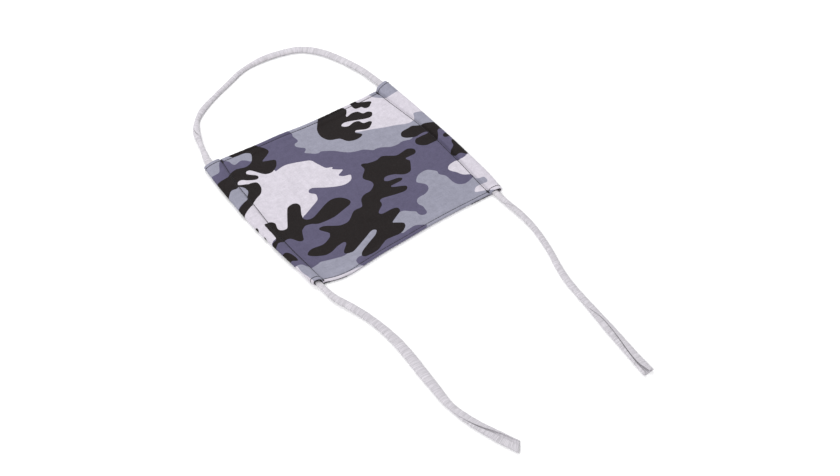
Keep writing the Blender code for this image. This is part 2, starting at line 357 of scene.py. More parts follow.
BLACK_PATCHES = [
    [(17, 85), (16.5, 79), (14.5, 76), (10, 70), (8.3, 66.5), (7.3, 62.5), (7.2, 58.5), (8.2, 54.8),
     (10, 52), (13, 50), (16, 49), (18.5, 47.2), (20.7, 42), (23, 40), (26, 38.8), (29, 38.5),
     (32, 39), (34.5, 40.3), (35, 42), (32.5, 45.5), (32.3, 47), (34, 48.2), (38, 46), (40, 44.8),
     (42.5, 44.2), (45, 44.7), (49.3, 48), (50.3, 49.7), (49, 51.2), (44.5, 51.8), (43.3, 53.5),
     (43, 55.5), (41.5, 57.2), (38.5, 57.8), (35, 57), (32.5, 56.5), (30, 57.5), (28.5, 59),
     (28, 60.3), (29.3, 61.7), (31.5, 62.2), (34.5, 61.8), (40, 59.5), (46, 56.8), (49, 55.7),
     (52, 55.2), (55, 56), (57, 58), (58, 60), (57, 61.8), (55, 63), (52.5, 62.8), (51, 63.8),
     (49.5, 67.3), (47, 68.5), (43.5, 68.7), (38.3, 67.3), (38.2, 68.5), (40, 70.5), (42, 73),
     (43, 75), (42.3, 77), (40, 79), (37, 80), (36, 85)],
    [(49.3, 85), (49.2, 77), (49, 73.5), (50, 71.3), (53, 70.8), (55.5, 70.5), (56.3, 68.3),
     (58.3, 67), (61, 67.2), (63.5, 69), (65.8, 70.8), (64.5, 72.3), (58, 76), (55.5, 77), (55, 79),
     (55.5, 85)],
    [(-70, 85), (-69.5, 79), (-68, 76.8), (-65, 76), (-60, 75.7), (-56, 75.3), (-53.5, 74), (-52, 72),
     (-52.5, 69.5), (-55, 65), (-57.5, 63), (-60, 62), (-63, 61.8), (-69, 62.9), (-75, 61.3),
     (-80, 58), (-82, 56.3), (-85, 55.8), (-92, 55.7), (-98, 55), (-109, 50), (-112, 40), (-106, 33),
     (-98, 32), (-95, 35.5), (-88, 41.2), (-85, 41.3), (-82, 41), (-77.5, 44), (-75, 42.5),
     (-73.5, 40.5), (-73, 37.5), (-74, 34.5), (-79, 28), (-81.5, 25.8), (-85, 24.5), (-92.5, 21.5),
     (-98, 20), (-104, 17), (-104, 11), (-98, 10), (-90, 14), (-83, 17.5), (-79.5, 19.2),
     (-73.5, 24.5), (-66.5, 29.5), (-64.3, 32), (-62.7, 35), (-62, 38.5), (-62.3, 41.5), (-64, 43),
     (-67, 43.8), (-70, 43.7), (-75.8, 45.8), (-76.2, 47.3), (-74.8, 49.2), (-72.3, 49.7),
     (-69.5, 48.8), (-63, 45.5), (-60.3, 45), (-58.7, 46), (-58.4, 47.7), (-59.5, 49.5), (-64, 53.3),
     (-65, 55), (-64.2, 56.8), (-62, 57), (-59.8, 55.5), (-54.2, 48), (-51.8, 46), (-49, 45.3),
     (-46, 45.7), (-41.5, 48.5), (-39.5, 51), (-38.2, 53.5), (-37.8, 55), (-39, 56.7), (-45, 58.7),
     (-47.5, 59.8), (-46, 61.3), (-40, 65), (-37.8, 67.2), (-37.5, 69.5), (-39, 72), (-43, 77),
     (-44.5, 79), (-44.5, 85)],
    [(-54.5, 6.2), (-51.5, 6.5), (-48.8, 5), (-48, 2.5), (-48.5, 0), (-51.5, -6), (-52.5, -9),
     (-52.8, -11.5), (-51.5, -13.5), (-49, -14.7), (-46, -14.8), (-43, -13.8), (-36, -10.8),
     (-32, -9.2), (-28, -8), (-24, -7.7), (-20.5, -8.7), (-17.5, -10.8), (-15.5, -13.5),
     (-14.2, -16.5), (-14.5, -19), (-16.5, -20.8), (-20, -22), (-30, -24.3), (-36, -24.3),
     (-46, -22.8), (-51, -19.7), (-55.5, -18.7), (-58, -20), (-60.3, -22), (-63, -28), (-64.3, -30.5),
     (-66.5, -31), (-68.5, -29.5), (-70.3, -27), (-72, -25.5), (-75, -25.7), (-81, -28.8),
     (-87, -28.6), (-93, -31.5), (-98, -31), (-106, -32), (-108, -28), (-98, -27), (-94, -27.2),
     (-91, -25.8), (-88, -25.3), (-86, -23.8), (-84.8, -21), (-84.7, -10), (-84.6, -7), (-83.7, -4.8),
     (-81, -4.6), (-78.5, -3), (-76.5, -2.4), (-74, -3.5), (-72.8, -5.5), (-73.2, -8), (-74, -11),
     (-73.6, -13.3), (-71.5, -14.7), (-69, -14.3), (-67, -12.5), (-63, -5), (-58.5, 3), (-56.8, 5.2)],
    [(-98, -3), (-94, -3.5), (-92, -4.8), (-92.3, -7), (-94, -8.3), (-98, -6), (-103, -5)],
    [(-98, -14), (-95, -14.8), (-93, -16.2), (-93.3, -18.3), (-95, -19.3), (-98, -18), (-103, -16)],
    [(-98, -40), (-94, -40.3), (-90, -40.5), (-87.5, -41.5), (-85.5, -44), (-85, -47.5), (-85, -51),
     (-86, -52.8), (-88.5, -52.2), (-91, -50.8), (-98, -50), (-110, -49), (-112, -42)],
    [(13, 10.5), (14.5, 11.3), (16.5, 10.5), (18.5, 9.3), (21, 8.8), (24, 8.3), (27, 8.5), (30, 9.5),
     (32, 9.8), (35, 8.2), (40.5, 4.3), (43, 3.6), (46, 4), (52, 5.2), (55, 4.3), (57, 2.2),
     (57, -0.5), (55.5, -2.7), (53, -3.3), (49, -3.3), (46, -3.4), (46, -5.5), (47, -7.5),
     (46, -10.5), (43, -16), (41.5, -18.2), (39, -19.3), (36, -19.2), (33, -17.5), (30, -14.8),
     (27.5, -13.3), (24.5, -12.2), (21.5, -12), (19.7, -13.2), (18.7, -15.2), (20, -16.8),
     (22, -17.6), (28, -18.7), (30.5, -20), (31.5, -21.5), (30, -23), (27, -23.3), (20, -23.3),
     (19.3, -24.2), (21, -25.7), (27, -29), (29.3, -31), (28.8, -33.3), (26.5, -34.8), (23, -34.8),
     (15, -33), (8, -31), (5.5, -31), (4, -32), (3.7, -34.5), (2.5, -37), (0, -38.8), (-3.7, -42),
     (-3.5, -44), (-1.5, -45), (5.5, -45.1), (8.5, -45.7), (10.5, -47), (11, -49), (9.8, -51.5),
     (4, -54.3), (-1, -57.2), (0.5, -58.8), (5.2, -62.5), (5.7, -64.5), (4.5, -67), (0, -70),
     (-3.5, -70.7), (-7, -70.3), (-11, -69.6), (-15, -69.3), (-18, -70.5), (-21.5, -72.3),
     (-25, -73.7), (-29, -74.3), (-36, -73.5), (-38.5, -72), (-39, -70.3), (-37.5, -68),
     (-34.5, -66.2), (-27, -63.3), (-19.5, -60.3), (-16.8, -58.3), (-15.5, -56.5), (-17, -54.9),
     (-20, -55), (-28, -58.3), (-40, -62.3), (-43, -62.5), (-46, -61.5), (-48, -60), (-47, -57.5),
     (-42, -53.5), (-41, -51.8), (-42, -50.5), (-45, -50.3), (-49, -50.7), (-53, -52), (-57, -52.8),
     (-61, -52.7), (-67.5, -49.8), (-70.5, -48), (-70.5, -46.5), (-68.8, -44.3), (-66.5, -42.7),
     (-63, -41.8), (-55, -42.2), (-48, -39.8), (-45.8, -37.5), (-45.3, -35.5), (-48, -31),
     (-49.3, -28.5), (-48.5, -27), (-46, -26.9), (-43, -28.2), (-37, -32.8), (-34, -34.7),
     (-30, -35.7), (-27, -35.4), (-24, -33.7), (-18.5, -29.3), (-15, -28.6), (-12, -28.9),
     (-9.7, -28), (-7.3, -22.8), (-5.5, -20.5), (-3, -18.9), (0, -18.3), (3, -18.3), (6, -17),
     (9, -14.5), (10, -12), (9.5, -9), (6.8, -4), (7, -1.5), (8.5, 0.5), (12.5, 4.5), (13, 7)],
    [(57.8, 20), (58.8, 22.5), (61, 24.6), (64, 25.2), (68, 25.3), (71.5, 25), (77, 21.8),
     (84, 18.2), (88, 16.4), (91, 15.4), (94.5, 16), (98, 17.5), (109, 16), (112, 9), (98, 5.5),
     (91, 5.4), (88, 5.8), (85.8, 4.8), (81.5, 0), (78.5, -1.3), (74, -1.7), (70, -1.5), (66, 0),
     (63.5, 2.3), (62, 5), (62.3, 7.8), (64, 10), (66.5, 11), (74, 10.1), (77.5, 10.6), (76, 12.2),
     (73.5, 12.9), (66.5, 13), (63.5, 14.2), (60.5, 15.8), (58.5, 17.8)],
    [(85.3, -3.8), (86.5, -1.8), (89.5, -1), (98, -1.5), (104, -4), (98, -6), (89.5, -6), (86.5, -5.4)],
    [(76.3, -23), (77, -20.8), (79.5, -19.9), (85.5, -17.2), (87, -13.5), (88.5, -11.5), (91, -10.3),
     (98, -8), (110, -12), (113, -24), (98, -29.5), (93.5, -30), (91, -31.5), (88.5, -31),
     (86.5, -28.8), (83.5, -27.5), (80.5, -27.5), (78, -25.8)],
]
# white from the hem line of the bottom rim, and on the outer side of the left casing: a painted highlight on
# faces that catch the front light, not a patch of the print
PAINTED_HIGHLIGHT_EDGES = [
    [(-77, -77), (-66, -76.8), (-56, -77.2), (-48, -78.2), (-44, -79.6), (-46, -84), (-62, -85),
     (-76, -85), (-78, -80)],
    [(-92, -57), (-92.6, -64), (-91.6, -72), (-91, -79), (-92, -85), (-103, -85), (-106, -70),
     (-100, -58)],
]
# the white also colours the painted highlight along the bottom rim and on the left casing's side
INKS = {
    "slate": (0.093, 0.084, 0.144),
    "white": (0.551, 0.520, 0.579),
    "grey": (0.261, 0.261, 0.326),
    "black": (0.011, 0.008, 0.008),
}
LAID_IN_ORDER = (
    ("white", WHITE_PATCHES), ("grey", GREY_PATCHES), ("black", BLACK_PATCHES), ("white", PAINTED_HIGHLIGHT_EDGES),
)
PATCHES = [(colour, outline) for colour, outlines in LAID_IN_ORDER for outline in outlines]
OUTLINE_SPACING = 0.9
GRID_CELL = 0.6  # a point of the cloth's grid is left out where an outline's point is in its cell


def smooth_point(four, t):
    """The point at t, from 0 to 1, between the middle two of four points of a smooth curve."""
    a, b, c, d = four
    return 0.5 * (2 * b + (c - a) * t + (2 * a - 5 * b + 4 * c - d) * t**2
                  + (3 * b - a - 3 * c + d) * t**3)


def smooth_closed(points, spacing):
    """A closed smooth curve through the points, as points about spacing apart, anticlockwise."""
    count = len(points)
    twice_area = sum(
        points[i - 1][0] * points[i][1] - points[i][0] * points[i - 1][1] for i in range(count)
    )
    if twice_area < 0:
        points = points[::-1]
    line = []
    for i in range(count):
        four = [Vector(points[(i + k) % count]) for k in (-1, 0, 1, 2)]
        steps = max(1, round((four[2] - four[1]).length / spacing))
        line += [smooth_point(four, k / steps) for k in range(steps)]
    return line


# --- Meshes ---

def in_scene(name, data):
    obj = bpy.data.objects.new(name, data)
    bpy.context.collection.objects.link(obj)
    return obj


def new_mesh(name, points, faces, uvs, body, slot, materials):
    """A smooth-shaded piece. points and uvs, one for each point, are in millimetres."""
    mesh = bpy.data.meshes.new(name)
    mesh.from_pydata([tuple(value * MM for value in p) for p in points], [], faces)
    mesh.polygons.foreach_set("use_smooth", [True] * len(mesh.polygons))
    for material in materials:
        mesh.materials.append(material)
    layer = mesh.uv_layers.new(name="cloth")
    for loop in mesh.loops:
        layer.data[loop.index].uv = [value * MM for value in uvs[loop.vertex_index]]
    obj = in_scene(name, mesh)
    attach(obj, body)
    return obj


def thicken(obj, thickness, inner=0):
    solid = obj.modifiers.new("thickness", "SOLIDIFY")
    solid.thickness = thickness * MM
    solid.offset = 0.0
    solid.use_quality_normals = True
    solid.material_offset = inner


def spaced(start, end, spacing):
    steps = max(1, round(abs(end - start) / spacing))
    return [start + (end - start) * k / steps for k in range(steps)]


def both_ways(values):
    """The values and their opposites, in order."""
    return [-value for value in reversed(values)] + [value for value in values if value > 0]


def cloth_columns():
    over = SEAM_U + TOP_U
    values = spaced(0, SEAM_U - 10, 1.6) + spaced(SEAM_U - 10, SEAM_U - 1.5, 1.0)
    values += spaced(SEAM_U - 1.5, SEAM_U + 1.5, 0.4) + spaced(SEAM_U + 1.5, over + 12, 0.9)
    return both_ways(values + spaced(over + 12, END_U, 0.7) + [END_U])


def cloth_rows():
    bend = EDGE - ROLL
    values = spaced(0, EDGE - 12, 1.6) + spaced(EDGE - 12, EDGE - 4.5, 1.0)
    values += spaced(EDGE - 4.5, bend, 0.45) + spaced(bend, bend + math.pi * ROLL, 0.16)
    return both_ways(values + spaced(bend + math.pi * ROLL, END_V, 0.9) + [END_V])


def printed_cloth(materials):
    """The outer cloth: a grid cut along the edges of the inks, laid out by cloth_point."""
    columns, rows = cloth_columns(), cloth_rows()
    outlines = [smooth_closed(outline, OUTLINE_SPACING) for _, outline in PATCHES]

    def cell(u, v):
        return round(u / GRID_CELL), round(v / GRID_CELL)

    taken = {cell(*p) for outline in outlines for p in outline}
    points = []
    for u in columns:
        for v in rows:
            inner = abs(u) < END_U and abs(v) < EDGE - 5
            if not inner or cell(u, v) not in taken:
                points.append(Vector((u, v)))
    corners = [Vector((a * END_U, b * END_V)) for a, b in ((-1, -1), (1, -1), (1, 1), (-1, 1))]
    loops = []
    for outline in [corners] + outlines:
        loops.append(list(range(len(points), len(points) + len(outline))))
        points += outline
    flat, _, faces, _, _, inside = delaunay_2d_cdt(points, [], loops, 0, 1e-4)
    kept, colours = [], []
    for face, within in zip(faces, inside):
        if 0 in within:
            kept.append(face)
            colours.append("slate" if len(within) == 1 else PATCHES[max(within) - 1][0])
    used = sorted({index for face in kept for index in face})
    place = {index: k for k, index in enumerate(used)}
    kept = [[place[index] for index in face] for face in kept]
    flat = [flat[index] for index in used]
    places = [cloth_point(*p) for p in flat]
    obj = new_mesh("printed_cloth", places, kept, flat, "mask", "printed_cotton", materials)
    # each face's colour: the print, and the painted highlight of the white edge patches
    ink_and_highlight = obj.data.attributes.new("ink_and_highlight", "FLOAT_COLOR", "CORNER")
    for polygon, colour in zip(obj.data.polygons, colours):
        for corner in polygon.loop_indices:
            ink_and_highlight.data[corner].color = (*INKS[colour], 1.0)
    thicken(obj, COTTON, inner=1)
    return obj


def lining_point(u, v):
    """The middle of the lining, turned up and in past the top and bottom edges."""
    bend = EDGE - LINING_SHORT - LINING_ROLL
    inward, rise = EDGE - min(abs(v), bend), 0.0
    if abs(v) > bend:
        angle = (abs(v) - bend) / LINING_ROLL
        turn = min(angle, math.pi)
        past = max(angle - math.pi, 0)
        inward = LINING_SHORT + LINING_ROLL * (1 - math.sin(turn) + past)
        rise = LINING_ROLL * (1 - math.cos(turn))
    at = math.copysign(EDGE - inward, v)
    x, y = plan(u, at)
    seam = SEAM_U - abs(u)
    z = LINING_Z + (SEAM_LINING_Z - LINING_Z) * (1 - ease((seam - 5.6) / 3.0)) * ease(inward / 6.0)
    z += 0.12 * noise.noise(Vector((u / 14.0, v / 18.0, 9.0))) ** 2
    return Vector((x, y, z + rise * (1 - 0.25 * ease((inward - 1) / 2))))


def lining(materials):
    bend = EDGE - LINING_SHORT - LINING_ROLL
    turned, end = bend + 0.88, bend + 3.2
    columns = both_ways(spaced(0, SEAM_U - 10, 2.0) + spaced(SEAM_U - 10, LINING_U, 0.8) + [LINING_U])
    rows = spaced(0, EDGE - 10, 2.0) + spaced(EDGE - 10, bend, 0.7)
    rows = both_ways(rows + spaced(bend, turned, 0.12) + spaced(turned, end, 0.8) + [end])
    flat = [(u, v) for u in columns for v in rows]
    faces = []
    for i in range(len(columns) - 1):
        for j in range(len(rows) - 1):
            a, b = i * len(rows) + j, (i + 1) * len(rows) + j
            faces.append((a, b, b + 1, a + 1))
    places = [lining_point(*p) for p in flat]
    obj = new_mesh("lining_cloth", places, faces, flat, "mask", "lining_cotton", materials)
    thicken(obj, COTTON * 0.9)
    return obj


# --- Sewing thread ---

THREAD = 0.26  # radius
STITCH = 2.3
DIP = 0.20  # how far the ends of a stitch go down into the cloth
LIP_THREAD_AND_SHADOW = 0.55  # radius at the near left mouth: a thick dark thread under the lip, partly its overlock and partly a painted shadow inside the mouth
FINE_THREAD = 0.20
LIP_GAP = 0.12  # from the turned-in cloth of a mouth to the thread under its lip
LIP_OUT = 0.1  # how far that thread stands out of the mouth


def side_word(side):
    return "right" if side > 0 else "left"


def end_word(sign):
    return "top" if sign > 0 else "bottom"


def tube(points, radius, sides, scale_at=None):
    """Points and faces of a closed tube along the points."""
    rings, faces, uvs = [], [], []
    side = None
    length = 0.0
    for i, p in enumerate(points):
        tangent = (points[min(i + 1, len(points) - 1)] - points[max(i - 1, 0)]).normalized()
        side = side or Vector((0, 0, 1)).cross(tangent)
        side = (side - tangent * side.dot(tangent)).normalized()
        up = tangent.cross(side)
        if i:
            length += (p - points[i - 1]).length
        size = radius * (scale_at(i / (len(points) - 1)) if scale_at else 1.0)
        for k in range(sides):
            angle = 2 * math.pi * k / sides
            rings.append(p + side * (size * math.cos(angle)) + up * (size * math.sin(angle)))
            uvs.append((k / sides * 2 * math.pi * radius, length))
    for i in range(len(points) - 1):
        for k in range(sides):
            a, b = i * sides + k, i * sides + (k + 1) % sides
            faces.append((a, b, b + sides, a + sides))
    faces.append(tuple(reversed(range(sides))))
    last = (len(points) - 1) * sides
    faces.append(tuple(range(last, last + sides)))
    return rings, faces, uvs


def joined(parts):
    points, faces, uvs = [], [], []
    for part_points, part_faces, part_uvs in parts:
        start = len(points)
        points += part_points
        uvs += part_uvs
        faces += [tuple(index + start for index in face) for face in part_faces]
    return points, faces, uvs


def one_stitch(place, start, end, radius):
    """A stitch whose ends go down into the cloth. place(t, lift) is a point on the stitched line."""
    shape = [(0.0, -DIP), (0.06, -0.02), (0.22, 0.07), (0.5, 0.10), (0.78, 0.07), (0.94, -0.02), (1.0, -DIP)]
    points = [place(start + (end - start) * t, lift) for t, lift in shape]
    return tube(points, radius, 6, lambda t: 0.8 + 0.2 * math.sin(math.pi * t))


def stitch_row(place, start, end, row, length=STITCH, radius=THREAD):
    """Stitches along a line, each a little uneven."""
    count = round(abs(end - start) / length)
    step = (end - start) / count
    parts = []
    for k in range(count):
        slip = 0.10 * noise.noise(Vector((k * 1.7, row, 0.3)))
        ends = [start + (k + share + slip) * step for share in (0.04, 0.96)]
        parts.append(one_stitch(place, *ends, radius))
    return parts


def wander(position, row):
    """How far a sewn line strays from straight."""
    return 0.22 * noise.noise(Vector((position / 19.0, row, 6.6)))


def lip_stitching(side, sign):
    """Short stitches over the turned-in edge of a mouth and on along the edge, seen as a dark line inside its
    lip: partly overlock thread, partly a painted shadow under the lip.
    """
    near_left = side < 0 and sign < 0

    def under_lip(u, lift):
        fold = base_normal(side * u, sign * EDGE) * (2 * ROLL + LIP_GAP + lift)
        return base_point(side * u, sign * EDGE) - fold + Vector((0, LIP_OUT * sign, 0))

    far, near = SEAM_U + TOP_U + 5, SEAM_U - 4
    arch = stitch_row(under_lip, far, near, 2.2, 1.2, LIP_THREAD_AND_SHADOW if near_left else THREAD)
    return arch + stitch_row(under_lip, near, SEAM_U - 18, 2.7, 1.6, FINE_THREAD)


def hem_stitching(sign, materials):
    """The hem's line of stitches on the face, round both mouths, its bobbin side, and the mouths' lips."""
    reach = SEAM_U + TOP_U + 11

    def on_face(u, lift):
        return on_cloth(u, sign * (HEM_V + wander(u, sign)), lift)

    def on_lining(u, lift):
        v = sign * (HEM_V + wander(u, sign))
        return lining_point(u, v) - Vector((0, 0, COTTON * 0.45 + lift - 0.05))

    parts = stitch_row(on_face, -reach, reach, sign)
    parts += stitch_row(on_lining, -SEAM_U + 5.5, SEAM_U - 5.5, sign + 0.5)
    parts += lip_stitching(-1, sign) + lip_stitching(1, sign)
    return thread_piece(f"hem_stitches_{end_word(sign)}", parts, materials)


def casing_stitching(side, materials):
    """The stitches that hold a casing's flap, seen on the face and under the flap."""
    flap_u = SEAM_U + TOP_U + under_share(side) * UNDER_U

    def on_face(v, lift):
        return on_cloth(side * (SEAM_U - 0.3 + wander(v, side)), v, lift)

    def on_flap(v, lift):
        return on_cloth(side * flap_u, v, lift)

    parts = stitch_row(on_face, -EDGE + 1.0, EDGE - 1.0, side)
    parts += stitch_row(on_flap, -EDGE + 1.0, EDGE - 1.0, side + 0.5)
    return thread_piece(f"casing_stitches_{side_word(side)}", parts, materials)


def under_share(side):
    """How far along the cloth under a casing its stitch line lies, at the middle of the casing."""
    line, lengths = casing_section(side, 0.0)[1]
    return lengths[line.index((0.0, FLAP_Z + 0.2))] / lengths[-1]


def backtack(side, sign, materials):
    """Stitches sewn back and forth where a casing line meets a hem."""
    parts = []
    for k in range(3):
        shift = side * (-0.5 + 0.45 * k) + 0.1 * noise.noise(Vector((k, side, sign)))

        def place(v, lift, shift=shift):
            return on_cloth(side * (SEAM_U - 0.3) + shift, sign * v, lift)

        far = EDGE - 0.7 - 0.5 * (k % 2)
        parts += stitch_row(place, far, far - 4.4, k * 1.3 + side)
    return thread_piece(f"backtack_{end_word(sign)}_{side_word(side)}", parts, materials)


def thread_piece(name, parts, materials):
    return new_mesh(name, *joined(parts), "mask", "sewing_thread", materials)


# --- The tie: one jersey tape whose cut edges curl towards each other, so that it lies like a slit tube ---

TAPE = 0.85  # thickness of the jersey
TAPE_ROUND = 24.0  # distance round the tape's section, inside and out, for its material
TAPE_STEP = 0.8
FLOOR_Z = 1.8  # height of a route's points where the tape lies on the floor
CLEARANCE = 0.15  # between the floor and the tape that lies on it
CUT_REACH = 14.0  # length of tape over which a slanting cut is worked in

LOOP_ROUTE = [
    (-84.0, 57.0, 2.5), (-84.0, 69.0, 2.5), (-83.2, 83.0, 2.5), (-80.6, 93.8, 2.5), (-75.9, 110.3, 2.5),
    (-71.6, 121.0, 1.8), (-64.5, 131.4, 1.8), (-53.8, 140.0, 1.8), (-38.9, 147.5, 1.8),
    (-20.6, 155.4, 1.8), (-1.7, 163.0, 1.8), (18.5, 165.6, 1.8), (37.5, 163.3, 1.8), (53.4, 157.5, 1.8),
    (65.5, 144.7, 1.8), (73.9, 126.9, 1.8), (80.0, 105.8, 2.5), (82.4, 89.8, 2.5), (84.0, 73.0, 2.5),
    (84.0, 57.0, 2.5),
]
LEFT_TAIL_ROUTE = [
    (-84.0, -67.0, 2.5), (-84.0, -78.0, 2.5), (-83.6, -89.0, 2.5), (-82.4, -99.5, 2.5),
    (-78.4, -111.4, 2.5), (-73.4, -127.2, 1.8), (-70.4, -143.9, 1.8), (-69.1, -161.0, 1.8),
    (-69.5, -179.0, 1.8), (-70.9, -197.0, 1.8), (-71.9, -214.1, 1.8), (-72.8, -230.0, 1.8),
    (-71.4, -242.9, 1.8), (-67.8, -257.9, 1.8), (-63.2, -270.9, 1.8), (-58.6, -283.0, 1.8),
    (-54.9, -292.0, 1.8),
]
RIGHT_TAIL_ROUTE = [
    (84.0, -67.0, 2.5), (84.0, -78.0, 2.5), (84.5, -93.0, 2.5), (85.6, -108.0, 2.5),
    (85.5, -124.1, 1.8), (83.0, -140.2, 1.8), (79.3, -156.2, 1.8), (75.0, -170.6, 1.8),
    (71.7, -186.1, 1.8), (70.0, -203.1, 1.8), (68.7, -220.1, 1.8), (67.2, -238.0, 1.8),
    (65.8, -256.1, 1.8), (64.4, -274.0, 1.8), (63.4, -291.5, 1.8),
]


def smooth_route(points, step):
    """Evenly spaced points on a smooth curve through the route's points."""
    between = 24
    dense = []
    for i in range(len(points) - 1):
        four = [Vector(points[min(max(i + k, 0), len(points) - 1)]) for k in (-1, 0, 1, 2)]
        dense += [smooth_point(four, k / between) for k in range(between)]
    dense.append(Vector(points[-1]))
    lengths = [0.0]
    for a, b in zip(dense, dense[1:]):
        lengths.append(lengths[-1] + (b - a).length)
    count = round(lengths[-1] / step)
    line = []
    for k in range(count + 1):
        at = lengths[-1] * k / count
        i = min(max(bisect_right(lengths, at) - 1, 0), len(dense) - 2)
        line.append(dense[i].lerp(dense[i + 1], (at - lengths[i]) / (lengths[i + 1] - lengths[i])))
    return line


def route_length(points):
    return sum((b - a).length for a, b in zip(points, points[1:]))


def curled_section(width, height, curl, slit):
    """The tape's cross-section as a closed line: an oval band of curl degrees, open towards slit."""
    half_width, half_height = (width - TAPE) / 2, (height - TAPE) / 2
    steps = 22
    middle = []
    for k in range(steps + 1):
        angle = math.radians(slit + (360 - curl) / 2 + curl * k / steps)
        middle.append(Vector((half_width * math.cos(angle), half_height * math.sin(angle))))
    outer, inner = [], []
    for k, p in enumerate(middle):
        tangent = (middle[min(k + 1, steps)] - middle[max(k - 1, 0)]).normalized()
        normal = Vector((tangent.y, -tangent.x)) * TAPE / 2
        outer.append(p + normal)
        inner.append(p - normal)
    first = middle[0] - (middle[1] - middle[0]).normalized() * TAPE * 0.35
    last = middle[-1] + (middle[-1] - middle[-2]).normalized() * TAPE * 0.35
    return outer + [last] + inner[::-1] + [first]


def cut_end(start, size):
    """The faces that close the tape's section at a cut, for points that begin at start."""
    last = size // 2 - 2  # of the outer points, whose inner partners follow in reverse
    quads = [(k, k + 1, 2 * last + 1 - k, 2 * last + 2 - k) for k in range(last)]
    tips = [(last, last + 1, last + 2), (2 * last + 2, 2 * last + 3, 0)]
    return [tuple(start + index for index in face) for face in quads + tips]


def curled_tape(name, line, width, height, curl, slit, materials, cut=0.0):
    """A tape swept along the line. width, height, curl and slit are functions of the distance along it.

    cut is how far the far end's cut runs along the tape for each millimetre across it.
    """
    points, faces, uvs = [], [], []
    at, whole = 0.0, route_length(line)
    for i, place in enumerate(line):
        tangent = (line[min(i + 1, len(line) - 1)] - line[max(i - 1, 0)]).normalized()
        side = tangent.cross(Vector((0, 0, 1))).normalized()
        up = side.cross(tangent)
        if i:
            at += (place - line[i - 1]).length
        p = place - Vector((0, 0, FLOOR_Z - height(at) / 2 - CLEARANCE))  # flatter stretches lie lower
        uneven = 1 + 0.05 * noise.noise(Vector((at / 5.0, p.x / 9.0, 1.0)))
        section = curled_section(width(at) * uneven, height(at), curl(at), slit(at))
        slant = cut * ease((at - whole + CUT_REACH) / CUT_REACH)
        for k, q in enumerate(section):
            points.append(p + side * q.x + up * q.y + tangent * (slant * q.x))
            uvs.append((k / len(section) * TAPE_ROUND, at))
    size = len(section)
    for i in range(len(line) - 1):
        for k in range(size):
            a, b = i * size + k, i * size + (k + 1) % size
            faces.append((a, a + size, b + size, b))
    faces += cut_end(0, size)
    faces += [face[::-1] for face in cut_end((len(line) - 1) * size, size)]
    return new_mesh(name, points, faces, uvs, "tie", "jersey_tie", materials)


def loop_tie(materials):
    line = smooth_route(LOOP_ROUTE, TAPE_STEP)
    width = curve_through([
        (0, 6.2), (22, 6.4), (34, 5.0), (46, 4.1), (60, 5.7), (70, 5.2), (79, 3.9), (90, 5.0),
        (112, 4.0), (135, 4.3), (156, 4.2), (172, 6.0), (190, 6.4), (222, 7.0), (250, 6.7), (270, 6.0),
        (290, 6.0), (314, 6.2),
    ])
    height = curve_through([(0, 3.3), (40, 3.7), (120, 3.6), (200, 3.2), (314, 3.3)])
    slit = curve_through([
        (0, -90), (40, -90), (52, 10), (60, 95), (70, 170), (82, 250), (96, 270), (314, 270),
    ])
    return curled_tape("tie_loop_tape", line, width, height, lambda s: 340, slit, materials), line


def left_tail(materials):
    line = smooth_route(LEFT_TAIL_ROUTE, TAPE_STEP)
    width = curve_through([
        (0, 5.2), (12, 4.7), (24, 5.0), (40, 6.3), (72, 6.8), (102, 8.0), (126, 8.3), (145, 7.6),
        (160, 6.7), (172, 6.0), (188, 7.3), (205, 8.7), (218, 9.8), (229, 10.0),
    ])
    height = curve_through([(0, 3.3), (110, 3.2), (165, 3.1), (200, 2.8), (229, 2.6)])
    curl = curve_through([(0, 340), (150, 343), (190, 343), (207, 326), (218, 304), (229, 290)])
    slit = curve_through([
        (0, -90), (138, -90), (158, -40), (172, 5), (184, 40), (197, 76), (212, 112), (229, 134),
    ])
    tape = curled_tape("tie_left_tail_tape", line, width, height, curl, slit, materials, cut=0.48)
    return tape, line


def right_tail(materials):
    line = smooth_route(RIGHT_TAIL_ROUTE, TAPE_STEP)
    width = curve_through([
        (0, 5.2), (12, 4.8), (24, 4.8), (36, 5.0), (50, 5.0), (85, 4.8), (110, 5.3), (140, 5.5),
        (158, 6.4), (174, 7.6), (190, 7.9), (206, 8.3), (226, 9.2),
    ])
    height = curve_through([(0, 3.3), (60, 3.5), (140, 3.3), (226, 3.2)])
    curl = curve_through([(0, 340), (150, 344), (205, 342), (217, 330), (226, 300)])
    slit = curve_through([
        (0, -90), (16, -90), (25, 0), (31, 80), (38, 135), (48, 180), (60, 262), (132, 270),
        (150, 380), (164, 455), (176, 462), (190, 446), (204, 425), (216, 418), (226, 432),
    ])
    tape = curled_tape("tie_right_tail_tape", line, width, height, curl, slit, materials, cut=0.1)
    return tape, line


def casing_run(side, materials):
    """The stretch of tape hidden in a casing, bowed as the casing is."""
    node = f"tie_{side_word(side)}_run"
    low, high = box_mm(node)
    bow = 2.8
    route = []
    for k in range(9):
        t = k / 8
        out = TIE_X + bow * math.sin(math.pi * t)
        route.append((side * out, low[1] + (high[1] - low[1]) * t, RUN_Z))
    line = smooth_route(route, 2 * TAPE_STEP)
    width, height, curl, slit = (lambda at, value=value: value for value in (5.6, 3.3, 340, -90))
    return curled_tape(f"{node}_tape", line, width, height, curl, slit, materials)


# --- Materials ---

